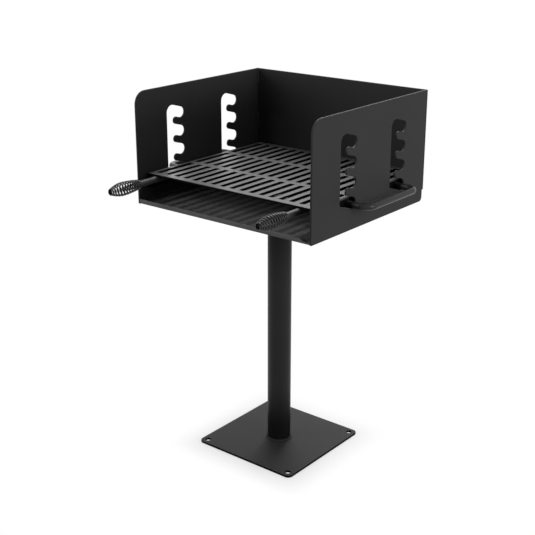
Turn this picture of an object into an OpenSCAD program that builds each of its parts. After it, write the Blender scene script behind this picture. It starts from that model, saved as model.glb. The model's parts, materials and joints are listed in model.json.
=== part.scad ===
// Park barbecue grill on a post: a sheet steel firebox that swivels on a
// bolted-down pipe, with a lift-out cooking grate hooked into slotted sides.
// Millimetres. +X is the right side seen from the front, -Y is the open
// front, +Z is up. The origin is on the post's axis, under the base plate.

/* [Base plate] */
// Side of the square base plate
base_w = 300; // [240:5:400]
// Thickness of the base plate
base_t = 6; // [5:0.5:12]
// Corner radius of the base plate
base_corner_r = 13; // [6:1:20]
// Diameter of the four anchor holes
anchor_hole_d = 14; // [10:1:20]
// Distance of the anchor holes from the plate's edges
anchor_inset = 17; // [15:1:30]
// Leg of the weld round the foot of the post
foot_weld_leg = 4.2; // [3:0.1:8]

/* [Post and swivel] */
// Outside diameter of the post pipe
post_d = 60.3; // [50:0.1:76]
// Wall of the post pipe
post_wall = 3.9; // [2.5:0.1:5]
// Thickness of the disc that closes the post
post_cap_t = 8; // [6:0.5:12]
// Diameter of the pivot bolt
pivot_bolt_d = 16; // [12:1:18]
// Width across the flats of the pivot bolt's head and its nut
pivot_hex_w = 24; // [22:0.5:28]
// Height of the pivot bolt's head
pivot_head_h = 10; // [6:0.5:14]
// Height of the nut under the post's cap
pivot_nut_h = 13; // [8:0.5:18]
// Length of the bolt's end below its nut
pivot_bolt_tail = 5; // [1:1:20]
// Diameter of the washer under the bolt's head
pivot_washer_d = 50; // [34:1:60]
// Thickness of that washer
pivot_washer_t = 3; // [2:0.5:4]
// Wall of the collar that turns round the post's top
collar_wall = 6; // [4:0.5:10]
// Height of the collar
collar_h = 60; // [30:5:90]
// Gap between the collar and the post
collar_gap = 0.5; // [0.3:0.1:1.5]
// Leg of the weld between the collar and the firebox
collar_weld_leg = 5; // [3:0.5:8]

/* [Firebox] */
// Height of the firebox's underside above the ground
box_bottom = 650; // [500:10:850]
// Outside width of the firebox
box_w = 525; // [420:5:650]
// Outside depth of the firebox
box_depth = 461; // [420:1:560]
// Height of the firebox
box_h = 274; // [260:1:330]
// Distance from the post's axis to the firebox's front edge
box_reach = 225.5; // [190:0.5:260]
// Thickness of the firebox and grate sheet
sheet_t = 4.8; // [3:0.1:5.5]
// Radius of the side panels' upper front corners
front_corner_r = 32; // [10:1:60]
// Radius of the side panels' lower front corners
front_foot_r = 3; // [1:0.5:10]
// Outer radius of the bend between the floor and its rear flange
rear_bend_r = 10; // [7:0.5:16]
// Height of the floor's rear flange
rear_flange_h = 46; // [30:1:60]
// Overlap of the back panel and that flange
back_lap = 18; // [8:1:24]
// Height of the floor's front lip
lip_h = 12.3; // [10:0.1:30]
// Outer radius of the bend under the lip
lip_bend_r = 6.5; // [6:0.1:9]
// Distance from the right panel to where the lip's end is cut off
lip_end_gap = 29; // [20:1:60]
// Length of the lip's slanted end
lip_end_slant = 15; // [5:1:18]

/* [Side slots] */
// Distance from the firebox's front edge to the front slots
slot_setback = 104.5; // [60:0.5:120]
// Spacing of the two slots in a side panel
slot_spacing = 202; // [160:1:220]
// Width of the upright part of a slot
channel_w = 23; // [18:0.5:28]
// Distance from the upright part to the centre of a seat
seat_reach = 26; // [20:0.5:34]
// Width of the fingers that lead to the seats
finger_w = 26.5; // [22:0.5:29]
// Downward slope of the fingers towards the back, in degrees
finger_slope = 16; // [8:1:22]
// Number of heights for the grate
levels = 4; // [2:1:4]
// Vertical spacing of the heights
level_pitch = 46.5; // [42:0.5:49]
// Radius of a slot's upper front corner
slot_top_r = 18; // [6:1:19]
// Radius of a slot's lower front corner
slot_foot_r = 5; // [2:0.5:6]

/* [Grate] */
// Height of the grate's top above the firebox's underside, at the lowest seats
grate_h = 75; // [70:1:90]
// Gap between the grate and the left side panel
left_grate_gap = 3.7; // [3:0.1:12]
// Gap between the grate and the right side panel
right_grate_gap = 10.7; // [3:0.1:12]
// Distance from the firebox's front edge to the grate's front edge
grate_inset = 25; // [10:0.5:40]
// Gap between the grate's rear edge and the back panel
grate_back_gap = 2.7; // [1:0.1:12]
// Height of the grate's side flanges
grate_flange_h = 39; // [30:1:45]
// Outer radius of the grate's bends
grate_bend_r = 7; // [6:0.5:12]
// How far the flanges stop short of the sheet's rear edge
flange_relief = 4.5; // [3:0.5:20]
// Radius of the flanges' lower front corners
flange_corner_r = 6; // [2:1:12]
// Spacing of the bars
bar_pitch = 29; // [22:0.5:36]
// Width of the slots between the bars
bar_gap = 14.4; // [10:0.1:18]
// Corner radius of those slots
bar_gap_r = 2; // [1:0.5:4]
// Number of slot rows
slot_rows = 3; // [2:1:4]
// Width of the cross ribs between the rows
rib_w = 17.5; // [10:0.5:30]
// Width of the rim in front of the first row
front_rim = 18; // [12:0.5:30]
// Width of the rim behind the last row
back_rim = 15.5; // [12:0.5:30]

/* [Bails] */
// Diameter of the bail rod
bail_d = 16; // [10:0.5:18]
// Depth of the bail's axis below the grate's top
bail_drop = 16.5; // [15:0.5:24]
// Distance from the side panel to the axis of the bail's outer run
bail_out = 44; // [36:0.5:60]
// Bend radius of the bail, on its axis
bail_bend_r = 24; // [14:1:30]
// Leg of the welds between the bails and the grate
bail_weld_leg = 2.8; // [2:0.1:3]

/* [Handles] */
// Diameter of the handle rods
rod_d = 16; // [10:0.5:18]
// Distance from the grate's left side to the left rod's axis
left_rod_inset = 29; // [20:1:120]
// Distance from the grate's right side to the right rod's axis
right_rod_inset = 38; // [20:1:120]
// Length of a rod under the grate
rod_hold = 53; // [30:1:90]
// Distance from the grate's front edge to the left coil grip
left_grip_setback = 57.5; // [30:0.5:90]
// Distance from the grate's front edge to the right coil grip
right_grip_setback = 48; // [30:0.5:90]
// Length of the rod inside the grip
rod_in_grip = 12; // [6:1:20]
// Length of the welds beside a rod
rod_weld_l = 12.5; // [6:0.5:14]
// Leg of those welds
rod_weld_leg = 4; // [2:0.5:5]

/* [Coil grips] */
// Overall length of a coil grip
grip_l = 93.5; // [88:0.5:130]
// Wire diameter of the grip
grip_wire_d = 3.5; // [2:0.1:3.6]
// Number of turns
grip_turns = 13; // [10:1:14]
// Largest outside diameter
grip_mid_d = 33.6; // [26:0.1:40]
// Outside diameter at the free end
grip_far_d = 16; // [14:0.5:24]
// Gap between the rod and the grip's first turn
grip_rod_gap = 0.2; // [0.1:0.1:1]
// How far below the right the left grip's wire ends, in degrees
left_grip_turn = 55; // [0:5:90]
// How far below the right the right grip's wire ends, in degrees
right_grip_turn = 10; // [0:5:90]

/* [Welds] */
// Leg of the firebox's inner stitch welds
stitch_leg = 4.5; // [3:0.5:6]
// Length of the upright stitches in the back corners
corner_stitch_l = 40; // [20:1:60]
// Spacing of those stitches
corner_stitch_pitch = 115.5; // [70:0.5:125]
// Distance of the upper stitch from the panels' top
corner_stitch_drop = 3; // [2:1:20]
// Length of the stitches along the floor
floor_stitch_l = 136; // [60:1:150]

/* [Hidden] */
$fn = 64;

// Overrun of every cut
over = 1;
// Gap between a bail and its seat
seat_gap = 0.3;
// Gap between the pivot bolt and the holes that it passes
bolt_gap = 0.5;
// Gap between the bolt's thread and its nut
thread_gap = 0.05;
// Gap that lets the floor turn under the washer
swivel_play = 0.2;
// Steps in a rounded corner
corner_steps = 8;
// Steps in the half round of a seat or a tooth
seat_steps = 14;

// Firebox planes
front_y = -box_reach;
back_y = front_y + box_depth;
back_in_y = back_y - sheet_t;
side_x = box_w / 2;
side_in_x = side_x - sheet_t;
floor_z = box_bottom + sheet_t;
box_top = box_bottom + box_h;
flange_top = box_bottom + rear_flange_h;

// Post and swivel
post_r = post_d / 2;
post_in_r = post_r - post_wall;
cap_bottom = box_bottom - post_cap_t;
collar_in_r = post_r + collar_gap;
collar_r = collar_in_r + collar_wall;
pivot_hole_r = pivot_bolt_d / 2 + bolt_gap;
washer_z = floor_z + swivel_play;
head_z = washer_z + pivot_washer_t;
nut_bottom = cap_bottom - pivot_nut_h;
anchor_offset = base_w / 2 - anchor_inset;

// Grate
grate_top = box_bottom + grate_h;
grate_under = grate_top - sheet_t;
grate_left = left_grate_gap - side_in_x;
grate_right = side_in_x - right_grate_gap;
grate_front = front_y + grate_inset;
grate_back = back_in_y - grate_back_gap;
grate_low = grate_top - grate_flange_h;
row_l = (grate_back - grate_front - front_rim - back_rim - (slot_rows - 1) * rib_w) / slot_rows;
bar_gaps = floor((min(grate_right, -grate_left) - grate_bend_r - bar_gap / 2) / bar_pitch);

// Bails and their slots
bail_r = bail_d / 2;
bail_z = grate_top - bail_drop;
bail_x = side_x + bail_out;
finger_r = finger_w / 2;
channel_y = front_y + slot_setback;
tip_y = channel_y + channel_w;
seat_y = tip_y + seat_reach;
seat_z = bail_z - bail_r - seat_gap + finger_r;
top_seat_z = seat_z + (levels - 1) * level_pitch;
tooth_r = (level_pitch * cos(finger_slope) - finger_w) / 2;

// Handles and coil grips
rod_r = rod_d / 2;
left_rod_x = grate_left + left_rod_inset;
right_rod_x = grate_right - right_rod_inset;
rod_z = grate_under - rod_r;
wire_r = grip_wire_d / 2;
rings_per_turn = 8;
tube_sides = 6;
grip_rings = grip_turns * rings_per_turn;
// The chords of the first turn keep the gap to the rod
grip_end_r = (rod_r + grip_rod_gap + wire_r) / cos(180 / rings_per_turn);
grip_mid_r = grip_mid_d / 2 - wire_r;
grip_far_r = grip_far_d / 2 - wire_r;
// Where along the grip its thickest place lies
thickest_share = 0.57;
// Pitch at the near end, in the middle and at the far end, against each other
near_pitch_share = 0.5;
mid_pitch_share = 1;
far_pitch_share = 0.45;
// Where along the turns the middle pitch lies
mid_turn_share = 0.55;

// Points of a circular arc, from angle a to angle b
function arc(c, r, a, b, steps = corner_steps) =
    [for (i = [0 : steps]) let (t = a + (b - a) * i / steps) c + r * [cos(t), sin(t)]];

// Height of a line that falls towards the back at the fingers' slope
function sloped(z, y) = z - (y - seat_y) * tan(finger_slope);

// Arc that rounds the corner p between the directions u and v
function rounded(p, u, v, r) =
    let (
        half = acos(u * v) / 2,
        m = (u + v) / norm(u + v),
        c = p + m * r / sin(half),
        a = p + u * r / tan(half) - c,
        b = p + v * r / tan(half) - c,
        from = atan2(a[1], a[0]),
        turn = atan2(a[0] * b[1] - a[1] * b[0], a * b)
    )
    arc(c, r, from, from + turn);

module plate_outline(w, r) {
    square([w - 2 * r, w], center = true);
    square([w, w - 2 * r], center = true);
    for (x = [-1, 1], y = [-1, 1])
        translate([x * (w / 2 - r), y * (w / 2 - r)])
            circle(r);
}

module base_plate() {
    color([0.17, 0.17, 0.18])
        difference() {
            linear_extrude(base_t)
                plate_outline(base_w, base_corner_r);
            for (x = [-1, 1], y = [-1, 1])
                translate([x * anchor_offset, y * anchor_offset, -over])
                    cylinder(d = anchor_hole_d, h = base_t + 2 * over);
        }
}

// Ring of weld with a straight face, standing on z = 0 round a pipe or rod
module weld_ring(r, leg) {
    rotate_extrude()
        polygon([[r, 0], [r + leg, 0], [r, leg]]);
}

module foot_weld() {
    color([0.15, 0.15, 0.16])
        translate([0, 0, base_t])
            weld_ring(post_r, foot_weld_leg);
}

module post_pipe() {
    color([0.14, 0.14, 0.15])
        translate([0, 0, base_t])
            rotate_extrude()
                translate([post_in_r, 0])
                    square([post_wall, cap_bottom - base_t]);
}

module post_cap() {
    color([0.14, 0.14, 0.15])
        translate([0, 0, cap_bottom])
            difference() {
                cylinder(r = post_r, h = post_cap_t);
                translate([0, 0, -over])
                    cylinder(r = pivot_hole_r, h = post_cap_t + 2 * over);
            }
}

module hexagon(w, h) {
    cylinder(d = w / cos(30), h = h, $fn = 6);
}

module pivot_nut() {
    color([0.5, 0.5, 0.5])
        translate([0, 0, nut_bottom])
            difference() {
                hexagon(pivot_hex_w, pivot_nut_h);
                translate([0, 0, -over])
                    cylinder(r = pivot_bolt_d / 2 + thread_gap, h = pivot_nut_h + 2 * over);
            }
}

module pivot_bolt() {
    color([0.2, 0.2, 0.2]) {
        translate([0, 0, head_z])
            hexagon(pivot_hex_w, pivot_head_h);
        translate([0, 0, nut_bottom - pivot_bolt_tail])
            cylinder(d = pivot_bolt_d, h = head_z + over - nut_bottom + pivot_bolt_tail);
    }
}

module pivot_washer() {
    color([0.2, 0.2, 0.2])
        translate([0, 0, washer_z])
            difference() {
                cylinder(d = pivot_washer_d, h = pivot_washer_t);
                translate([0, 0, -over])
                    cylinder(r = pivot_hole_r, h = pivot_washer_t + 2 * over);
            }
}

module swivel_collar() {
    color([0.14, 0.14, 0.15])
        translate([0, 0, box_bottom - collar_h])
            difference() {
                cylinder(r = collar_r, h = collar_h);
                translate([0, 0, -over])
                    cylinder(r = collar_in_r, h = collar_h + 2 * over);
            }
}

module collar_weld() {
    color([0.15, 0.15, 0.16])
        translate([0, 0, box_bottom])
            mirror([0, 0, 1])
                weld_ring(collar_r, collar_weld_leg);
}

// The floor's section from front to back: lip, floor and rear flange
module floor_section() {
    lip_c = [front_y + lip_bend_r, box_bottom + lip_bend_r];
    rear_c = [back_in_y - rear_bend_r, box_bottom + rear_bend_r];
    polygon(concat(
        [[front_y, box_bottom + lip_h]],
        arc(lip_c, lip_bend_r, 180, 270),
        arc(rear_c, rear_bend_r, 270, 360),
        [[back_in_y, flange_top], [back_in_y - sheet_t, flange_top]],
        arc(rear_c, rear_bend_r - sheet_t, 360, 270),
        arc(lip_c, lip_bend_r - sheet_t, 270, 180),
        [[front_y + sheet_t, box_bottom + lip_h]]
    ));
}

module firebox_floor() {
    cut_x = side_in_x - lip_end_gap;
    color([0.2, 0.2, 0.21])
        difference() {
            translate([-side_in_x, 0, 0])
                rotate([90, 0, 90])
                    linear_extrude(2 * side_in_x)
                        floor_section();
            // The lip's right end is cut off at a slant, down to the floor
            translate([0, front_y + lip_bend_r, 0])
                rotate([90, 0, 0])
                    linear_extrude(lip_bend_r + over)
                        polygon([
                            [cut_x, box_bottom + lip_h + over],
                            [cut_x, box_bottom + lip_h],
                            [cut_x + lip_end_slant, floor_z],
                            [side_in_x + over, floor_z],
                            [side_in_x + over, box_bottom + lip_h + over]
                        ]);
            translate([0, 0, box_bottom - over])
                cylinder(r = pivot_hole_r, h = sheet_t + 2 * over);
        }
}

// The front slot of a side panel: an upright channel with sloping fingers,
// walked round from its lower front corner
function slot_outline(y, steps = seat_steps) =
    let (
        low = seat_z - finger_r / cos(finger_slope),
        high = top_seat_z + finger_r / cos(finger_slope),
        back = [cos(finger_slope), -sin(finger_slope)],
        tip_c = [tip_y + tooth_r, sloped(seat_z + level_pitch / 2, tip_y + tooth_r)]
    )
    [for (p = concat(
        rounded([channel_y, sloped(low, channel_y)], [0, 1], back, slot_foot_r),
        [for (i = [0 : levels - 1]) each concat(
            arc([seat_y, seat_z + i * level_pitch], finger_r,
                -90 - finger_slope, 90 - finger_slope, steps),
            i == levels - 1 ? []
                : arc(tip_c + [0, i * level_pitch], tooth_r,
                    270 - finger_slope, 90 - finger_slope, steps)
        )],
        rounded([channel_y, sloped(high, channel_y)], back, [0, -1], slot_top_r)
    )) p + [y, 0]];

module side_outline() {
    difference() {
        polygon(concat(
            arc([front_y + front_foot_r, box_bottom + front_foot_r], front_foot_r, 180, 270),
            arc([back_in_y - rear_bend_r, box_bottom + rear_bend_r], rear_bend_r, 270, 360),
            [[back_in_y, box_top]],
            arc([front_y + front_corner_r, box_top - front_corner_r], front_corner_r, 90, 180)
        ));
        for (i = [0, 1])
            polygon(slot_outline(i * slot_spacing));
    }
}

module side_panel(x) {
    color([0.22, 0.22, 0.23])
        translate([x, 0, 0])
            rotate([90, 0, 90])
                linear_extrude(sheet_t)
                    side_outline();
}

module left_side_panel() {
    side_panel(-side_x);
}

module right_side_panel() {
    side_panel(side_in_x);
}

module back_panel() {
    color([0.18, 0.18, 0.19])
        translate([-side_x, back_in_y, flange_top - back_lap])
            cube([box_w, sheet_t, box_top - flange_top + back_lap]);
}

// A quarter-round bead along +Z, filling the corner of +X and +Y
module bead(l, leg) {
    intersection() {
        cylinder(r = leg, h = l);
        cube([leg, leg, l]);
    }
}

module corner_welds() {
    color([0.16, 0.16, 0.17])
        for (side = [0, 1], i = [0, 1])
            mirror([side, 0, 0])
                translate([
                    -side_in_x, back_in_y,
                    box_top - corner_stitch_drop - corner_stitch_l - i * corner_stitch_pitch
                ])
                    rotate([0, 0, -90])
                        bead(corner_stitch_l, stitch_leg);
}

module floor_welds() {
    color([0.16, 0.16, 0.17])
        for (side = [0, 1], far = [0, 1])
            mirror([side, 0, 0])
                translate([
                    -side_in_x,
                    far == 0 ? front_y + grate_inset + stitch_leg + floor_stitch_l
                             : back_in_y - rear_bend_r - stitch_leg,
                    floor_z
                ])
                    rotate([90, 0, 0])
                        bead(floor_stitch_l, stitch_leg);
}

// A block standing at low, with its two upper corners rounded
module arch(left, right, r, low, top) {
    translate([left, low])
        square([right - left, top - r - low]);
    translate([left + r, low])
        square([right - left - 2 * r, top - low]);
    for (x = [left + r, right - r])
        translate([x, top - r])
            circle(r);
}

// The grate's section from left to right: flange, top and flange
module grate_section() {
    difference() {
        arch(grate_left, grate_right, grate_bend_r, grate_low, grate_top);
        arch(
            grate_left + sheet_t, grate_right - sheet_t, grate_bend_r - sheet_t,
            grate_low - over, grate_under
        );
    }
}

module bar_slot() {
    linear_extrude(sheet_t + 2 * over) {
        translate([-bar_gap / 2, bar_gap_r])
            square([bar_gap, row_l - 2 * bar_gap_r]);
        translate([bar_gap_r - bar_gap / 2, 0])
            square([bar_gap - 2 * bar_gap_r, row_l]);
        for (x = [-1, 1], y = [bar_gap_r, row_l - bar_gap_r])
            translate([x * (bar_gap / 2 - bar_gap_r), y])
                circle(bar_gap_r, $fn = 24);
    }
}

// Cuts the flanges' lower front corners round and their rear ends short
module flange_trim() {
    cut_w = grate_right - grate_left + 2 * over;
    translate([grate_left - over, grate_back - flange_relief, grate_low - over])
        cube([cut_w, flange_relief + over, grate_flange_h - grate_bend_r + over]);
    translate([grate_left - over, grate_front, grate_low])
        rotate([90, 0, 90])
            linear_extrude(cut_w)
                difference() {
                    translate([-over, -over])
                        square(flange_corner_r + over);
                    translate([flange_corner_r, flange_corner_r])
                        circle(flange_corner_r);
                }
}

module cooking_grate() {
    color([0.27, 0.27, 0.28])
        difference() {
            translate([0, grate_back, 0])
                rotate([90, 0, 0])
                    linear_extrude(grate_back - grate_front)
                        grate_section();
            for (i = [-bar_gaps : bar_gaps], row = [0 : slot_rows - 1])
                translate([
                    i * bar_pitch,
                    grate_front + front_rim + row * (row_l + rib_w),
                    grate_under - over
                ])
                    bar_slot();
            flange_trim();
        }
}

// A quarter bend of the bail in the XY plane, from -Y round to +X
module bail_bend() {
    rotate_extrude(angle = 90)
        translate([bail_bend_r, 0])
            circle(bail_r, $fn = 32);
}

// The right bail: two legs from the flange at root_x and an outer run
module bail(root_x) {
    leg_l = bail_x - bail_bend_r - root_x;
    color([0.2, 0.2, 0.21])
        translate([0, 0, bail_z]) {
            for (y = [seat_y, seat_y + slot_spacing])
                translate([root_x, y, 0])
                    rotate([0, 90, 0])
                        cylinder(r = bail_r, h = leg_l, $fn = 32);
            translate([bail_x - bail_bend_r, seat_y + slot_spacing - bail_bend_r, 0])
                bail_bend();
            translate([bail_x - bail_bend_r, seat_y + bail_bend_r, 0])
                rotate([0, 0, -90])
                    bail_bend();
            translate([bail_x, seat_y + slot_spacing - bail_bend_r, 0])
                rotate([90, 0, 0])
                    cylinder(r = bail_r, h = slot_spacing - 2 * bail_bend_r, $fn = 32);
        }
}

module left_bail() {
    mirror([1, 0, 0])
        bail(-grate_left);
}

module right_bail() {
    bail(grate_right);
}

module bail_welds() {
    color([0.24, 0.24, 0.25])
        for (y = [seat_y, seat_y + slot_spacing]) {
            translate([grate_left, y, bail_z])
                rotate([0, -90, 0])
                    weld_ring(bail_r, bail_weld_leg);
            translate([grate_right, y, bail_z])
                rotate([0, 90, 0])
                    weld_ring(bail_r, bail_weld_leg);
        }
}

module handle_rod(x, grip_setback) {
    color([0.2, 0.2, 0.21])
        translate([x, grate_front + rod_hold, rod_z])
            rotate([90, 0, 0])
                cylinder(r = rod_r, h = rod_hold + grip_setback + rod_in_grip, $fn = 32);
}

module left_handle_rod() {
    handle_rod(left_rod_x, left_grip_setback);
}

module right_handle_rod() {
    handle_rod(right_rod_x, right_grip_setback);
}

// Fillets in the two corners between each rod and the grate's underside
module rod_welds() {
    color([0.16, 0.16, 0.17])
        for (x = [left_rod_x, right_rod_x], side = [0, 1])
            translate([x, grate_front + rod_weld_l + rod_weld_leg, grate_under])
                mirror([side, 0, 0])
                    rotate([90, 0, 0])
                        linear_extrude(rod_weld_l)
                            difference() {
                                polygon([[0, 0], [rod_r + rod_weld_leg, 0], [rod_r, -rod_r]]);
                                translate([0, -rod_r])
                                    circle(rod_r, $fn = 32);
                            }
}

// Pitch of the coil at a turn, as a share
function pitch_share(t) =
    t < mid_turn_share
        ? near_pitch_share + (mid_pitch_share - near_pitch_share) * sin(90 * t / mid_turn_share)
        : far_pitch_share + (mid_pitch_share - far_pitch_share)
            * cos(90 * (t - mid_turn_share) / (1 - mid_turn_share));

// Running sum of the pitch at each ring, then the same as real lengths
coil_sums = [
    for (i = 0, s = 0; i <= grip_rings; s = s + pitch_share((i + 1 / 2) / grip_rings), i = i + 1) s
];
coil_run = grip_l - grip_wire_d;
coil_travel = [for (s = coil_sums) s * coil_run / coil_sums[grip_rings]];

// Egg shape of the coil along its length
thickest_y = coil_run * thickest_share;
function coil_r(y) =
    y < thickest_y
        ? grip_end_r + (grip_mid_r - grip_end_r) * sin(90 * y / thickest_y)
        : grip_far_r + (grip_mid_r - grip_far_r) * cos(90 * (y - thickest_y) / (coil_run - thickest_y));

function coil_point(i) =
    let (a = 360 * i / rings_per_turn, r = coil_r(coil_travel[i]))
    [r * cos(a), -wire_r - coil_travel[i], r * sin(a)];

function unit(v) = v / norm(v);

coil_core = [for (i = [0 : grip_rings]) coil_point(i)];
// Both ends run on straight for one wire diameter
run_on = [0, 0, grip_wire_d];
coil_path = concat([coil_core[0] - run_on], coil_core, [coil_core[grip_rings] + run_on]);
coil_last = len(coil_path) - 1;

// Least gap between any two stretches that are half a turn or more apart
coil_gap = min([
    for (i = [1 : coil_last], j = [i + rings_per_turn / 2 : 1 : coil_last])
        norm(coil_path[i] - coil_path[j]) - grip_wire_d
]);
echo(str("least gap of a coil grip to itself: ", coil_gap, " mm"));

// Ring of tube points round the path at point i
function tube_ring(i) =
    let (
        t = unit(coil_path[min(i + 1, coil_last)] - coil_path[max(i - 1, 0)]),
        p = coil_path[i],
        out = unit([p[0], 0, p[2]]),
        v = unit(cross(t, out)),
        u = cross(v, t)
    )
    [for (k = [0 : tube_sides - 1])
        let (a = 360 * k / tube_sides) p + wire_r * (cos(a) * u + sin(a) * v)];

module coil_grip(x, grip_setback, turn) {
    points = [for (i = [0 : coil_last]) each tube_ring(i)];
    sides = [
        for (i = [0 : coil_last - 1], k = [0 : tube_sides - 1])
            let (
                a = i * tube_sides + k,
                b = i * tube_sides + (k + 1) % tube_sides
            )
            each [[a, b, b + tube_sides], [a, b + tube_sides, a + tube_sides]]
    ];
    near_end = [for (k = [1 : tube_sides - 2]) [0, k + 1, k]];
    last_ring = coil_last * tube_sides;
    far_end = [for (k = [1 : tube_sides - 2]) [last_ring, last_ring + k, last_ring + k + 1]];
    color([0.12, 0.12, 0.12])
        translate([x, grate_front - grip_setback, rod_z])
            rotate([0, turn, 0])
                polyhedron(points, concat(sides, near_end, far_end));
}

module left_coil_grip() {
    coil_grip(left_rod_x, left_grip_setback, left_grip_turn);
}

module right_coil_grip() {
    coil_grip(right_rod_x, right_grip_setback, right_grip_turn);
}

base_plate();
foot_weld();
post_pipe();
post_cap();
pivot_nut();
pivot_bolt();
pivot_washer();
swivel_collar();
collar_weld();
firebox_floor();
left_side_panel();
right_side_panel();
back_panel();
corner_welds();
floor_welds();
cooking_grate();
left_bail();
right_bail();
bail_welds();
left_handle_rod();
right_handle_rod();
rod_welds();
left_coil_grip();
right_coil_grip();
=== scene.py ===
import json
import math

import bmesh
import bpy
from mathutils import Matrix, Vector


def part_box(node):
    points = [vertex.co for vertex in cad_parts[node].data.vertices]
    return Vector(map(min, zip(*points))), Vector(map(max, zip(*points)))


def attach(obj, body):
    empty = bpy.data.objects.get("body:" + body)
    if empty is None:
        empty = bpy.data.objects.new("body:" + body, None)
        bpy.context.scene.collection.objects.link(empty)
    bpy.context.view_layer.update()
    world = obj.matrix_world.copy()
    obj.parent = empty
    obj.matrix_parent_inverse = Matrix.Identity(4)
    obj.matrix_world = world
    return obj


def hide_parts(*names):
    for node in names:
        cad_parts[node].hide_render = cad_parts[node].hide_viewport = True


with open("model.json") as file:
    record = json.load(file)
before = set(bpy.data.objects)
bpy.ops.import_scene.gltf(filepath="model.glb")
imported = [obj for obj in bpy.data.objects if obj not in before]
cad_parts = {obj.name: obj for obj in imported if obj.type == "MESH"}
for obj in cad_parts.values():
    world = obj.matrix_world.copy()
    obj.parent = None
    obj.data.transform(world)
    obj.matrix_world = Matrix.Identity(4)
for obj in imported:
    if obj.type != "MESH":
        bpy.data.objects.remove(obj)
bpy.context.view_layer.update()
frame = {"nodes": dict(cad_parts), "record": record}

# Camera, at the photograph's place: to the right of the firebox's open front and
# higher than its rim, looking down at the upper half of the post.
PHOTO_PX = 535
FOCAL_PX = 1052.92
SENSOR_MM = 36
CAMERA_AT = (1.5354, -1.9556, 1.3714)
CAMERA_AZIMUTH = math.radians(38.84)
CAMERA_PITCH = math.radians(19.72)

lens = bpy.data.cameras.new("camera")
lens.sensor_width = SENSOR_MM
lens.lens = FOCAL_PX * SENSOR_MM / PHOTO_PX
camera = bpy.data.objects.new("camera", lens)
camera.location = CAMERA_AT
camera.rotation_euler = (math.pi / 2 - CAMERA_PITCH, 0, CAMERA_AZIMUTH)
bpy.context.scene.collection.objects.link(camera)
bpy.context.scene.camera = camera
bpy.context.scene.view_settings.view_transform = "Standard"


# Studio: a pale floor, painted darker round the plate, that runs out to a white surround,
# under four soft lamps: a narrow one overhead, a wide weak one behind, and one each at the
# front left and the right.
SURROUND_GREY = 0.25
FLOOR_HALF = 9.0
FLOOR_DROP = 0.0005
# What the floor throws back at the object
FLOOR_ALBEDO = 0.2
# The floor as it is seen near the plate, darker than the white beyond: a painted shadow
# round the plate, made of a part that takes shadows and a part that glows
FLOOR_SHADE = 0.2
FLOOR_GLOW = 0.61
# It turns plain white between these distances from the plate's middle, with rounded corners,
# where the painted shadow ends
HALO_FADE = (0.13, 0.23)
FADE_ROUNDING = 0.1
# Each lamp: name, width, depth, watts, place, the point that it faces
LAMPS = [
    ("lamp_overhead", 0.6, 1.8, 90, (-0.6, 1.2, 3.0), (-0.6, 0, 0.7)),
    ("lamp_rear", 3.0, 2.0, 24, (-1.7, 2.5, 2.2), (0, 0, 0.7)),
    ("lamp_front_left", 2.2, 2.0, 52, (-2.3, -2.4, 1.9), (0, 0, 0.7)),
    ("lamp_right", 1.4, 1.8, 54, (2.9, 0.1, 1.5), (0, 0, 0.7)),
]


class Wire:
    """A value in a material's nodes. Sums with numbers and other values add Math nodes."""

    def __init__(self, finish, socket):
        self.finish = finish
        self.socket = socket

    def maths(self, operation, *terms):
        return self.finish.node("Math", {"operation": operation}, dict(enumerate(terms)))

    def __add__(self, other):
        return self.maths("ADD", self, other)

    def __radd__(self, other):
        return self.maths("ADD", other, self)

    def __sub__(self, other):
        return self.maths("SUBTRACT", self, other)

    def __rsub__(self, other):
        return self.maths("SUBTRACT", other, self)

    def __mul__(self, other):
        return self.maths("MULTIPLY", self, other)

    def __rmul__(self, other):
        return self.maths("MULTIPLY", other, self)

    def __abs__(self):
        return self.maths("ABSOLUTE", self)


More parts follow.
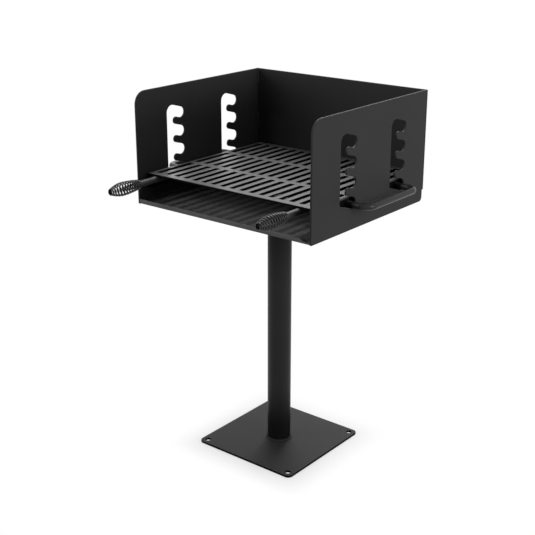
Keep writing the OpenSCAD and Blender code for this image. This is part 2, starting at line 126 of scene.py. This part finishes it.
class Finish:
    """A material. node() adds any node to it, and the methods after it are its short forms."""

    # The height of a face's normal at which the face starts to look up, and where it fully does
    LOOKS_UP = (0.1, 0.75)

    def __init__(self, name, tree=None):
        if tree is None:
            self.material = bpy.data.materials.new(name)
            self.material.use_nodes = True
            tree = self.material.node_tree
        self.tree = tree
        self.tree.nodes.clear()

    def node(self, kind, settings=None, sockets=None, out=0):
        """Adds a node with its settings, fills its sockets and gives one of its outputs."""
        made = self.tree.nodes.new("ShaderNode" + kind)
        for key, value in (settings or {}).items():
            setattr(made, key, value)
        for key, value in (sockets or {}).items():
            if isinstance(value, Wire):
                self.tree.links.new(value.socket, made.inputs[key])
            else:
                made.inputs[key].default_value = value
        return Wire(self, made.outputs[out]) if made.outputs else made

    def point(self):
        """The point on the surface, in metres in the frame of the whole grill."""
        return self.node("TexCoord", out="Object")

    def place(self, axis):
        """That point's distance along one axis."""
        return self.node("SeparateXYZ", sockets={"Vector": self.point()}, out=axis)

    def noise(self, scale, detail=2, roughness=0.5):
        """Noise from about 0 to 1, with features about 1/scale metres across."""
        sockets = {"Vector": self.point(), "Scale": scale, "Detail": detail, "Roughness": roughness}
        return self.node("TexNoise", sockets=sockets)

    def ramp(self, value, low, high):
        """0 below low, 1 above high and a smooth rise between them."""
        settings = {"interpolation_type": "SMOOTHSTEP"}
        return self.node("MapRange", settings, {"Value": value, "From Min": low, "From Max": high})

    def looks_up(self):
        """1 on faces that look up, and 0 on those that look sideways or down."""
        normal = self.node("NewGeometry", out="True Normal")
        height = self.node("SeparateXYZ", sockets={"Vector": normal}, out="Z")
        return self.ramp(height, *self.LOOKS_UP)

    def mix(self, share, first, second):
        """A colour between two colours."""
        settings = {"data_type": "RGBA", "clamp_factor": True}
        return self.node("Mix", settings, {0: share, 6: first, 7: second}, out=2)

    def mottle(self, share, level, tones):
        """A grey that wavers between two multiples of its level."""
        return self.mix(share, grey(level * tones[0]), grey(level * tones[1]))

    def bump(self, height, strength, depth):
        """A surface roughened by height, up to depth in metres."""
        sockets = {"Strength": strength, "Distance": depth, "Height": height}
        return self.node("Bump", sockets=sockets)

    def shader(self, sockets):
        return self.node("BsdfPrincipled", sockets=sockets)

    def surface(self, wire):
        self.node("OutputMaterial", sockets={"Surface": wire})
        return self.material


def grey(level):
    """A neutral colour of that linear level."""
    return (level, level, level, 1)


def seen(finish):
    """1 for what the camera sees, straight or mirrored in a gloss, and 0 for other light."""
    rays = ("Is Camera Ray", "Is Glossy Ray", "Is Transmission Ray")
    straight, mirrored, through = (finish.node("LightPath", out=ray) for ray in rays)
    return finish.node("Clamp", sockets={"Value": straight + mirrored + through}, out="Result")


world = bpy.data.worlds.new("studio")
bpy.context.scene.world = world
world.use_nodes = True
surround = Finish("surround", world.node_tree)
brightness = seen(surround) * (1 - SURROUND_GREY) + SURROUND_GREY
sky = surround.node("Background", sockets={"Color": grey(1), "Strength": brightness})
surround.node("OutputWorld", sockets={"Surface": sky})

paper = Finish("floor_paper")
matte = paper.node("BsdfDiffuse", sockets={"Color": grey(FLOOR_ALBEDO)})
shaded = paper.node("BsdfDiffuse", sockets={"Color": grey(FLOOR_SHADE)})
glow = paper.node("Emission", sockets={"Color": grey(1), "Strength": FLOOR_GLOW})
# near: the painted shadow round the plate
near = paper.node("AddShader", sockets={0: shaded, 1: glow})
far = paper.node("Emission", sockets={"Color": grey(1), "Strength": 1})
across, inward = abs(paper.place("X")), abs(paper.place("Y"))
distance = across.maths("SMOOTH_MAX", across, inward, FADE_ROUNDING)
fade = paper.ramp(distance, *HALO_FADE)
white = paper.node("MixShader", sockets={0: fade, 1: near, 2: far})
paper.surface(paper.node("MixShader", sockets={0: seen(paper), 1: matte, 2: white}))

floor_mesh = bpy.data.meshes.new("studio_floor")
corners = [(-1, -1), (1, -1), (1, 1), (-1, 1)]
floor_points = [(x * FLOOR_HALF, y * FLOOR_HALF, -FLOOR_DROP) for x, y in corners]
floor_mesh.from_pydata(floor_points, [], [(0, 1, 2, 3)])
floor_mesh.materials.append(paper.material)
studio_floor = bpy.data.objects.new("studio_floor", floor_mesh)
bpy.context.scene.collection.objects.link(studio_floor)

for name, width, depth, watts, place, facing in LAMPS:
    lamp = bpy.data.lights.new(name, "AREA")
    lamp.shape = "RECTANGLE"
    lamp.size = width
    lamp.size_y = depth
    lamp.energy = watts
    hung = bpy.data.objects.new(name, lamp)
    hung.location = place
    hung.rotation_euler = (Vector(facing) - Vector(place)).to_track_quat("-Z", "Y").to_euler()
    bpy.context.scene.collection.objects.link(hung)


# Base plate: a square of 6 mm steel with rounded corners and four anchor
# holes, powder-coated black with the rest of the stand.
PLATE_GREY = 0.021
PLATE_EDGE = 0.0008
STEEL_GLOSS = 0.1
STEEL_ROUGH = 0.55
# The coat's clouds and pebbles: their scales per metre, and how much they change it
NOISE_MIDDLE = 0.5
CLOUD_SCALE = 7
PEBBLE_SCALE = 620
PEBBLE_DEPTH = 0.0004
CLOUD_TONES = (0.8, 1.25)
ROUGHER_BY_CLOUD = 0.12
ROUGHER_BY_PEBBLE = 0.1
# Painted shade, a dark dull copy of the coat, and painted light, a paler grey
PAINTED_SHADE_GREY = 0.003
PAINTED_SHADE_TONES = (0.5, 1.5)
PAINTED_SHADE_GLOSS = 0.03
PAINTED_SHADE_ROUGH = 0.8
PAINTED_SHADE_ROUGHER_BY_PEBBLE = 0.2
PAINTED_LIGHT_GREY = 0.12
# Points closer than this are one point, and faces within this angle are one face
SAME_POINT = 0.00001
SAME_FACE = math.radians(0.5)
# Edges from this angle up are eased, and those from SHARP_FROM up stay crisp, in degrees
EASED_FROM = 40
SHARP_FROM = 35
EASE_SEGMENTS = 2


def powder_coat(name, level, gloss, rough, texture=0.3, painted_shade=None, painted_light=None):
    """Baked powder coat: a fine pebbled skin over slightly cloudy black.

    painted_shade(finish) and painted_light(finish) tell where shade is painted on it, as a dark
    dull copy of the coat, and where light is painted, as a paler grey."""
    finish = Finish(name)
    cloud = finish.noise(CLOUD_SCALE, detail=4)
    pebble = finish.noise(PEBBLE_SCALE)
    colour = finish.mottle(cloud, level, CLOUD_TONES)
    if painted_light is not None:
        colour = finish.mix(painted_light(finish), colour, grey(PAINTED_LIGHT_GREY))
    skin = finish.bump(pebble, texture, PEBBLE_DEPTH)
    cloudy, pebbly = cloud - NOISE_MIDDLE, pebble - NOISE_MIDDLE
    clean = finish.shader({
        "Base Color": colour,
        "Roughness": rough + cloudy * ROUGHER_BY_CLOUD + pebbly * ROUGHER_BY_PEBBLE,
        "Specular IOR Level": gloss,
        "Normal": skin,
    })
    if painted_shade is None:
        return finish.surface(clean)
    shaded_copy = finish.shader({
        "Base Color": finish.mottle(cloud, PAINTED_SHADE_GREY, PAINTED_SHADE_TONES),
        "Roughness": PAINTED_SHADE_ROUGH + pebbly * PAINTED_SHADE_ROUGHER_BY_PEBBLE,
        "Specular IOR Level": PAINTED_SHADE_GLOSS,
        "Normal": skin,
    })
    return finish.surface(finish.node("MixShader", sockets={0: painted_shade(finish), 1: clean, 2: shaded_copy}))


def painted_shade_off_top(finish):
    """1 on faces that look sideways or down, where shade is painted."""
    return 1 - finish.looks_up()


def body_of(node):
    """The body that a node of the frame belongs to."""
    bodies = frame["record"]["behaviour"]["bodies"]
    return next(body for body, nodes in bodies.items() if node in nodes)


def fit(name, mesh, node, material, sharp=SHARP_FROM):
    """Puts a mesh in the place of a node: it rides with the node's body, and the node is hidden."""
    mesh.materials.clear()
    mesh.materials.append(material)
    for face in mesh.polygons:
        face.use_smooth = True
    mesh.set_sharp_from_angle(angle=math.radians(sharp))
    made = bpy.data.objects.new(name, mesh)
    bpy.context.scene.collection.objects.link(made)
    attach(made, body_of(node))
    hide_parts(node)
    return made


def pressed(name, node, material, edge):
    """A node's own shape with its cut edges eased, as blasting and coating leave them."""
    made = bmesh.new()
    made.from_mesh(frame["nodes"][node].data)
    bmesh.ops.remove_doubles(made, verts=made.verts, dist=SAME_POINT)
    bmesh.ops.dissolve_limit(made, angle_limit=SAME_FACE, verts=made.verts, edges=made.edges)
    mesh = bpy.data.meshes.new(name)
    made.to_mesh(mesh)
    made.free()
    eased = fit(name, mesh, node, material).modifiers.new("eased_edges", "BEVEL")
    eased.width = edge
    eased.segments = EASE_SEGMENTS
    eased.limit_method = "ANGLE"
    eased.angle_limit = math.radians(EASED_FROM)
    eased.use_clamp_overlap = False
    eased.harden_normals = True


# The plate's edges and underside take painted shade.
plate_coat = powder_coat("plate_coat", PLATE_GREY, STEEL_GLOSS, STEEL_ROUGH, painted_shade=painted_shade_off_top)
pressed("base_plate_steel", "base_plate", plate_coat, PLATE_EDGE)


# Foot weld: one pass of weld all round the post where it stands on the plate,
# coated with it.
FOOT_RIPPLES = 52
BEAD_SIDES = 10
RIPPLE_STEPS = 4
RIPPLE_DEPTH = 0.06
# A bead's radius, and how far its middle stands out of the corner, as shares of its leg
BEAD_SIZE = 0.62
BEAD_OFFSET = 0.3


def sweep(name, path, sides, radius, out, closed=False):
    """A tube along path.

    radius(i) is its radius at point i, and out(p) a direction square to the path at p."""
    count = len(path)
    made = bmesh.new()
    rings = []
    for i, point in enumerate(path):
        ahead = path[(i + 1) % count] if closed or i + 1 < count else path[i]
        behind = path[i - 1] if closed or i else path[i]
        along = (ahead - behind).normalized()
        across = along.cross(out(point)).normalized()
        up = across.cross(along)
        turns = [2 * math.pi * k / sides for k in range(sides)]
        rings.append([
            made.verts.new(point + radius(i) * (math.cos(t) * up + math.sin(t) * across))
            for t in turns
        ])
    for i in range(count if closed else count - 1):
        here, there = rings[i], rings[(i + 1) % count]
        for k in range(sides):
            made.faces.new((here[k], here[(k + 1) % sides], there[(k + 1) % sides], there[k]))
    if not closed:
        made.faces.new(reversed(rings[0]))
        made.faces.new(rings[-1])
    bmesh.ops.recalc_face_normals(made, faces=made.faces)
    mesh = bpy.data.meshes.new(name)
    made.to_mesh(mesh)
    made.free()
    return mesh


def ring_weld(name, centre, axis, radius, leg, ripples):
    """A rippled bead round a pipe or rod, half sunk in the corner that it fills."""
    axis = Vector(axis)
    side = axis.orthogonal().normalized()
    other = axis.cross(side)
    steps = ripples * RIPPLE_STEPS
    middle = Vector(centre) + axis * leg * BEAD_OFFSET
    reach = radius + leg * BEAD_OFFSET
    turns = [2 * math.pi * i / steps for i in range(steps)]
    path = [middle + reach * (math.cos(t) * side + math.sin(t) * other) for t in turns]

    def thickness(i):
        return leg * BEAD_SIZE * (1 + RIPPLE_DEPTH * math.sin(2 * math.pi * i / RIPPLE_STEPS))

    return sweep(name, path, BEAD_SIDES, thickness, lambda p: p - middle, closed=True)


stand_coat = powder_coat("stand_coat", PLATE_GREY, STEEL_GLOSS, STEEL_ROUGH)
low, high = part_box("foot_weld")
post_low, post_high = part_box("post_pipe")
post_r = post_high.x
foot = ring_weld(
    "foot_weld_bead", (0, 0, low.z), (0, 0, 1), post_r, high.x - post_r, FOOT_RIPPLES
)
fit("foot_weld_bead", foot, "foot_weld", stand_coat)


# Post: a length of 60 mm steel pipe, cut square and coated.
# It stands on the plate and carries the firebox.
POST_SIDES = 96
POST_WALL = 0.0039
POST_GREY = 0.018
POST_GLOSS = 0.12
POST_ROUGH = 0.4
# How much painted shade darkens the post's two ends, and the heights at which it fades
FOOT_PAINTED_SHADE = 0.75
FOOT_FADE = (0.03, 0.18)
TOP_PAINTED_SHADE = 0.4
TOP_FADE = (0.42, 0.62)


def painted_shade_at_ends(finish):
    """Painted shade on the post, near its foot and under the firebox."""
    height = finish.place("Z")
    foot = FOOT_PAINTED_SHADE * (1 - finish.ramp(height, *FOOT_FADE))
    return foot + TOP_PAINTED_SHADE * finish.ramp(height, *TOP_FADE)


def lathe(name, profile, centre, axis, sides):
    """A turned shape. profile lists (radius, height along the axis), from the bottom."""
    axis = Vector(axis)
    side = axis.orthogonal().normalized()
    other = axis.cross(side)
    made = bmesh.new()
    rings = []
    for radius, height in profile:
        middle = Vector(centre) + axis * height
        if radius == 0:
            rings.append([made.verts.new(middle)] * sides)
            continue
        rings.append([
            made.verts.new(middle + radius * (math.cos(t) * side + math.sin(t) * other))
            for t in (2 * math.pi * k / sides for k in range(sides))
        ])
    for here, there in zip(rings, rings[1:]):
        for k in range(sides):
            corner = [here[k], here[(k + 1) % sides], there[(k + 1) % sides], there[k]]
            made.faces.new(list(dict.fromkeys(corner)))
    bmesh.ops.remove_doubles(made, verts=made.verts, dist=SAME_POINT)
    bmesh.ops.recalc_face_normals(made, faces=made.faces)
    mesh = bpy.data.meshes.new(name)
    made.to_mesh(mesh)
    made.free()
    return mesh


post_coat = powder_coat("post_coat", POST_GREY, POST_GLOSS, POST_ROUGH, painted_shade=painted_shade_at_ends)
post_l = post_high.z - post_low.z
post_in_r = post_r - POST_WALL
pipe = lathe(
    "post_tube",
    [(post_in_r, 0), (post_r, 0), (post_r, post_l), (post_in_r, post_l), (post_in_r, 0)],
    (0, 0, post_low.z), (0, 0, 1), POST_SIDES,
)
fit("post_tube", pipe, "post_pipe", post_coat)


# Post cap, swivel collar and their weld: the disc that closes the pipe carries
# the firebox, and the collar under the firebox turns round the post's top.
COLLAR_EDGE = 0.0006
COLLAR_RIPPLES = 64
for node in ("post_cap", "swivel_collar"):
    pressed(node + "_steel", node, stand_coat, COLLAR_EDGE)
low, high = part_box("collar_weld")
collar_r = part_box("swivel_collar")[1].x
ring = ring_weld(
    "collar_weld_bead", (0, 0, high.z), (0, 0, -1), collar_r, high.x - collar_r, COLLAR_RIPPLES
)
fit("collar_weld_bead", ring, "collar_weld", stand_coat)


# Pivot bolt, washer and nut: zinc-plated steel, dulled by heat and ash.
# The bolt holds the firebox down on the post's cap and lets it turn.
HARDWARE_EDGE = 0.0006
ZINC_GREY = 0.12
ZINC_TONES = (0.4, 1.6)
ZINC_METAL = 0.7
ZINC_ROUGH = 0.7
ZINC_SMOOTHER_BY_BLOTCH = 0.3
BLOTCH_SCALE = 160
BLOTCH_ROUGHNESS = 0.65
BLOTCH_BUMP = 0.2
BLOTCH_DEPTH = 0.0003


def dulled_zinc(name):
    """Zinc plate gone grey: metal with dark blotches that take its shine."""
    finish = Finish(name)
    blotch = finish.noise(BLOTCH_SCALE, detail=5, roughness=BLOTCH_ROUGHNESS)
    return finish.surface(finish.shader({
        "Base Color": finish.mottle(blotch, ZINC_GREY, ZINC_TONES),
        "Metallic": ZINC_METAL,
        "Roughness": ZINC_ROUGH - blotch * ZINC_SMOOTHER_BY_BLOTCH,
        "Normal": finish.bump(blotch, BLOTCH_BUMP, BLOTCH_DEPTH),
    }))


zinc = dulled_zinc("dulled_zinc")
for node in ("pivot_bolt", "pivot_washer", "pivot_nut"):
    pressed(node + "_steel", node, zinc, HARDWARE_EDGE)


# Firebox: a floor bent up into a lip and a rear flange, two side panels with
# laser-cut slots and a back panel, all of 4.8 mm sheet, welded and coated.
SHEET_EDGE = 0.001
BOX_GREY = 0.027
# How dark the painted shade inside the box is at its front, and how much darker at its back
FRONT_INNER_SHADE = 0.4
BACK_INNER_SHADE = 0.22
# Where that painted shade fades: through the sheets' thickness, across, inward and up
SIDE_SPAN = (0.2582, 0.2602)
BACK_SPAN = (0.2312, 0.2332)
INNER_SHADE_ACROSS = (-0.24, -0.02)
INNER_SHADE_INWARD = (-0.2, 0.15)
INNER_SHADE_TOP = (0.81, 0.93)
# Where the painted shadow of the grate begins on the floor, and where the lip's front, which
# takes painted light, ends
GRATE_SHADOW_SPAN = (-0.17, -0.02)
LIP_SPAN = (-0.2252, -0.2225)


def painted_inner_shade(finish):
    """Painted shade inside the firebox: darker towards the back and the left, and gone near the
    top.
    """
    across, inward, height = (finish.place(axis) for axis in "XYZ")
    inside = (1 - finish.ramp(abs(across), *SIDE_SPAN)) * (1 - finish.ramp(inward, *BACK_SPAN))
    left = 1 - finish.ramp(across, *INNER_SHADE_ACROSS)
    strength = FRONT_INNER_SHADE + BACK_INNER_SHADE * finish.ramp(inward, *INNER_SHADE_INWARD)
    return inside * left * strength * (1 - finish.ramp(height, *INNER_SHADE_TOP))


def painted_grate_shadow(finish):
    """0 at the floor's front and underside, rising to 1 under the grate, where its shadow is
    painted.
    """
    return finish.ramp(finish.place("Y"), *GRATE_SHADOW_SPAN) * finish.looks_up()


def painted_light_on_lip(finish):
    """1 on the lip's front, where light is painted as a paler grey."""
    return 1 - finish.ramp(finish.place("Y"), *LIP_SPAN)


box_coat = powder_coat("firebox_coat", BOX_GREY, STEEL_GLOSS, STEEL_ROUGH, painted_shade=painted_inner_shade)
for node in ("left_side_panel", "right_side_panel", "back_panel"):
    pressed(node + "_sheet", node, box_coat, SHEET_EDGE)
floor_coat = powder_coat(
    "firebox_floor_coat", BOX_GREY, STEEL_GLOSS, STEEL_ROUGH, painted_shade=painted_grate_shadow, painted_light=painted_light_on_lip
)
pressed("firebox_floor_sheet", "firebox_floor", floor_coat, SHEET_EDGE)


# Stitch welds: short passes up the back corners and along the floor's sides,
# each a row of overlapping beads.
BEAD_PITCH = 0.009
BEAD_STEPS = 6
STITCH_SIDES = 12
# A stitch's radius between its beads, what each bead adds to it, how far it stands
# out of its corner, all as shares of its leg, and how much it thins at its ends
STITCH_SIZE = 0.5
STITCH_BEAD = 0.28
STITCH_OFFSET = 0.2
STITCH_TAPER = 0.5
BEADS_SHARP_FROM = 80


def stitch(start, end, leg, corner):
    """A row of overlapping beads from start to end, sunk in the corner that it fills."""
    start, end, corner = Vector(start), Vector(end), Vector(corner)
    count = round((end - start).length / BEAD_PITCH) * BEAD_STEPS
    path = [start.lerp(end, i / count) + corner * leg * STITCH_OFFSET for i in range(count + 1)]

    def thickness(i):
        wave = abs(math.sin(math.pi * i / BEAD_STEPS))
        ease = min(1, (i + 1) / BEAD_STEPS, (count - i + 1) / BEAD_STEPS)
        return leg * (STITCH_SIZE + STITCH_BEAD * wave) * (1 - STITCH_TAPER + STITCH_TAPER * ease)

    return sweep("bead", path, STITCH_SIDES, thickness, lambda p: corner)


def islands(node):
    """The boxes of a node's separate solids, as pairs of lowest and highest corners."""
    loose = bmesh.new()
    loose.from_mesh(frame["nodes"][node].data)
    bmesh.ops.remove_doubles(loose, verts=loose.verts, dist=SAME_POINT)
    left = set(loose.verts)
    found = []
    while left:
        group, edge = set(), [left.pop()]
        while edge:
            vert = edge.pop()
            group.add(vert)
            for link in vert.link_edges:
                other = link.other_vert(vert)
                if other in left:
                    left.remove(other)
                    edge.append(other)
        places = [v.co for v in group]
        found.append((
            Vector([min(p[k] for p in places) for k in range(3)]),
            Vector([max(p[k] for p in places) for k in range(3)]),
        ))
    loose.free()
    return sorted(found, key=lambda pair: tuple(pair[0]))


def beside_a_panel(low, high):
    """Which side a weld's box lies on, -1 or 1, the x of the panel it touches and its leg."""
    side = -1 if low.x < 0 else 1
    return side, (low.x if side < 0 else high.x), high.x - low.x


def fit_beads(name, beads, node, material):
    """Joins a node's beads into one piece and puts it in the node's place."""
    made = bmesh.new()
    for bead in beads:
        made.from_mesh(bead)
        bpy.data.meshes.remove(bead)
    joined = bpy.data.meshes.new(name)
    made.to_mesh(joined)
    made.free()
    fit(name, joined, node, material, BEADS_SHARP_FROM)


beads = []
for low, high in islands("corner_welds"):
    side, panel_x, leg = beside_a_panel(low, high)
    foot, top = (panel_x, high.y, low.z), (panel_x, high.y, high.z)
    beads.append(stitch(foot, top, leg, (-side, -1, 0)))
fit_beads("corner_weld_beads", beads, "corner_welds", box_coat)

beads = []
for low, high in islands("floor_welds"):
    side, panel_x, leg = beside_a_panel(low, high)
    front, rear = (panel_x, low.y, low.z), (panel_x, high.y, low.z)
    beads.append(stitch(front, rear, leg, (-side, 0, 1)))
fit_beads("floor_weld_beads", beads, "floor_welds", box_coat)


# Cooking grate: one laser-cut sheet with its sides bent down, coated like the firebox but
# smoother and paler on top: the paler grey is painted light for the sheen of the lamps above,
# and its slot walls and underside take painted shade.
GRATE_PAINTED_LIGHT_GREY = 0.085
GRATE_GLOSS = 0.3
GRATE_ROUGH = 0.42
GRATE_TEXTURE = 0.2
grate_coat = powder_coat(
    "grate_coat", GRATE_PAINTED_LIGHT_GREY, GRATE_GLOSS, GRATE_ROUGH, GRATE_TEXTURE, painted_shade=painted_shade_off_top
)
pressed("cooking_grate_sheet", "cooking_grate", grate_coat, SHEET_EDGE)


# Bails: 16 mm bar bent into a shallow U, passed in through both slots of a side
# panel and welded to the grate's flange. The grate is lifted by them.
BAIL_GREY = 0.03
BAIL_GLOSS = 0.14
BAIL_ROUGH = 0.3
BAIL_TEXTURE = 0.06
BAIL_BEND_R = 0.024
BAIL_SIDES = 28
BEND_STEPS = 12
BAIL_WELD_RIPPLES = 14
ROUND_SHARP_FROM = 60
# The distances from the middle between which a bail turns from painted shade to its plain coat
PANEL_SPAN = (0.262, 0.276)


def painted_shade_inside_panels(finish):
    """1 between the side panels, where shade is painted on the bails, and 0 outside them."""
    return 1 - finish.ramp(abs(finish.place("X")), *PANEL_SPAN)


bail_coat = powder_coat(
    "bail_coat", BAIL_GREY, BAIL_GLOSS, BAIL_ROUGH, BAIL_TEXTURE, painted_shade=painted_shade_inside_panels
)
for side, node in ((-1, "left_bail"), (1, "right_bail")):
    low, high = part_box(node)
    rod_r = (high.z - low.z) / 2
    level = low.z + rod_r
    inner_x = min(abs(low.x), abs(high.x))
    outer_x = max(abs(low.x), abs(high.x)) - rod_r
    legs = (low.y + rod_r, high.y - rod_r)
    path = [Vector((side * inner_x, legs[0], level))]
    for leg_y, toward in ((legs[0], 1), (legs[1], -1)):
        centre = Vector((side * (outer_x - BAIL_BEND_R), leg_y + toward * BAIL_BEND_R, level))
        turns = [math.pi / 2 * i / BEND_STEPS for i in range(BEND_STEPS + 1)]
        if toward < 0:
            turns.reverse()
        path += [
            centre + BAIL_BEND_R * Vector((side * math.sin(t), -toward * math.cos(t), 0))
            for t in turns
        ]
    path.append(Vector((side * inner_x, legs[1], level)))
    rod = sweep(node + "_rod", path, BAIL_SIDES, lambda i: rod_r, lambda p: Vector((0, 0, 1)))
    fit(node + "_rod", rod, node, bail_coat, ROUND_SHARP_FROM)

beads = []
for low, high in islands("bail_welds"):
    side = -1 if low.x < 0 else 1
    flange_x = high.x if side < 0 else low.x
    centre = (flange_x, (low.y + high.y) / 2, (low.z + high.z) / 2)
    leg = high.x - low.x
    bar_r = (high.y - low.y) / 2 - leg
    beads.append(ring_weld("bead", centre, (side, 0, 0), bar_r, leg, BAIL_WELD_RIPPLES))
fit_beads("bail_weld_beads", beads, "bail_welds", bail_coat)


# Handle rods: 16 mm bar, cut with a small chamfer and welded under the
# grate's front.
ROD_GREY = 0.036
ROD_GLOSS = 0.22
ROD_ROUGH = 0.45
ROD_TEXTURE = 0.1
ROD_CHAMFER = 0.0008
ROD_SIDES = 32
rod_coat = powder_coat("rod_coat", ROD_GREY, ROD_GLOSS, ROD_ROUGH, ROD_TEXTURE)
for node in ("left_handle_rod", "right_handle_rod"):
    low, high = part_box(node)
    rod_r = (high.z - low.z) / 2
    end_r = rod_r - ROD_CHAMFER
    rod_l = high.y - low.y
    profile = [
        (0, 0), (end_r, 0), (rod_r, ROD_CHAMFER),
        (rod_r, rod_l - ROD_CHAMFER), (end_r, rod_l), (0, rod_l),
    ]
    rear = ((low.x + high.x) / 2, high.y, low.z + rod_r)
    fit(node + "_bar", lathe(node + "_bar", profile, rear, (0, -1, 0), ROD_SIDES), node, rod_coat)

beads = []
for low, high in islands("rod_welds"):
    middle_x = (low.x + high.x) / 2
    front, rear = (middle_x, low.y, high.z), (middle_x, high.y, high.z)
    beads.append(stitch(front, rear, (high.x - low.x) / 2, (0, 0, -1)))
fit_beads("rod_weld_beads", beads, "rod_welds", rod_coat)


# Coil grips: hard-drawn wire wound into an egg shape, pushed over the rods'
# ends. They stay cool because air passes between the turns.
GRIP_TURNS = 13
GRIP_WIRE_R = 0.00175
# The winding's radius at the rod, where it is thickest and at its free end
GRIP_NEAR_R = 0.01015
GRIP_MID_R = 0.01505
GRIP_FAR_R = 0.00625
THICKEST_SHARE = 0.57
# The pitch at the rod and at the free end against the widest, and where that lies
NEAR_PITCH_SHARE = 0.5
FAR_PITCH_SHARE = 0.45
MID_TURN_SHARE = 0.55
# How far below the right each wire starts, in degrees
GRIP_TURNED = {"left": 55, "right": 10}
TURN_STEPS = 40
WIRE_SIDES = 12
WIRE_GREY = 0.01
WIRE_GLOSS = 0.4
# The winding's inside takes painted shade: faces that look outward by less than this cosine
INSIDE_FACING = 0.1
INSIDE_SHADE_GREY = 0.004
INSIDE_SHADE_GLOSS = 0.05
WIRE_ROUGH = 0.28
WIRE_TONES = (0.5, 1.5)
SCUFF_SCALE = 260
ROUGHER_BY_SCUFF = 0.06
SCUFF_BUMP = 0.08
SCUFF_DEPTH = 0.0002


def pitch_share(turn):
    """The winding's pitch at a share of its turns, against the pitch in the middle."""
    if turn < MID_TURN_SHARE:
        rise = math.sin(math.pi / 2 * turn / MID_TURN_SHARE)
        return NEAR_PITCH_SHARE + (1 - NEAR_PITCH_SHARE) * rise
    fall = math.cos(math.pi / 2 * (turn - MID_TURN_SHARE) / (1 - MID_TURN_SHARE))
    return FAR_PITCH_SHARE + (1 - FAR_PITCH_SHARE) * fall


def egg(share):
    """The winding's radius at a share of its length from the rod's side."""
    if share < THICKEST_SHARE:
        rise = math.sin(math.pi / 2 * share / THICKEST_SHARE)
        return GRIP_NEAR_R + (GRIP_MID_R - GRIP_NEAR_R) * rise
    fall = math.cos(math.pi / 2 * (share - THICKEST_SHARE) / (1 - THICKEST_SHARE))
    return GRIP_FAR_R + (GRIP_MID_R - GRIP_FAR_R) * fall


def winding(start, run, first_turn):
    """Points of the wire's axis from the rod to the free end, run on straight at both ends."""
    count = GRIP_TURNS * TURN_STEPS
    sums = [0]
    for i in range(count):
        sums.append(sums[-1] + pitch_share((i + 0.5) / count))
    points = []
    for i, total in enumerate(sums):
        share = total / sums[-1]
        turn = first_turn + 2 * math.pi * i / TURN_STEPS
        points.append(start + Vector((
            egg(share) * math.cos(turn), -share * run, egg(share) * math.sin(turn)
        )))
    onward = 2 * GRIP_WIRE_R * Vector((-math.sin(first_turn), 0, math.cos(first_turn)))
    return [points[0] - onward] + points + [points[-1] + onward]


def off_axis(point, middle):
    """How far a point lies from the grip's axis, which runs front to back through middle."""
    return Vector((point.x - middle.x, 0, point.z - middle.z))


def drawn_wire(name, level, gloss):
    """Dark drawn wire: a thin black coat over steel, scuffed in use."""
    finish = Finish(name)
    scuff = finish.noise(SCUFF_SCALE)
    return finish.surface(finish.shader({
        "Base Color": finish.mottle(scuff, level, WIRE_TONES),
        "Specular IOR Level": gloss,
        "Roughness": WIRE_ROUGH + scuff * ROUGHER_BY_SCUFF,
        "Normal": finish.bump(scuff, SCUFF_BUMP, SCUFF_DEPTH),
    }))


wire_outside = drawn_wire("grip_wire", WIRE_GREY, WIRE_GLOSS)
wire_shaded_inside = drawn_wire("grip_wire_painted_shade", INSIDE_SHADE_GREY, INSIDE_SHADE_GLOSS)
for side in ("left", "right"):
    low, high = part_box(side + "_coil_grip")
    rod_low, rod_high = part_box(side + "_handle_rod")
    middle = (rod_low + rod_high) / 2
    start = Vector((middle.x, high.y - GRIP_WIRE_R, middle.z))
    run = high.y - low.y - 2 * GRIP_WIRE_R
    wound = winding(start, run, math.radians(-GRIP_TURNED[side]))
    name = side + "_coil_grip_wire"
    coil = sweep(name, wound, WIRE_SIDES, lambda i: GRIP_WIRE_R, lambda p: off_axis(p, start))
    piece = fit(name, coil, side + "_coil_grip", wire_outside, ROUND_SHARP_FROM)
    # Faces that look into the winding take the painted shade.
    piece.data.materials.append(wire_shaded_inside)
    for face in piece.data.polygons:
        outward = off_axis(face.center, start).normalized()
        face.material_index = int(face.normal.dot(outward) < INSIDE_FACING)
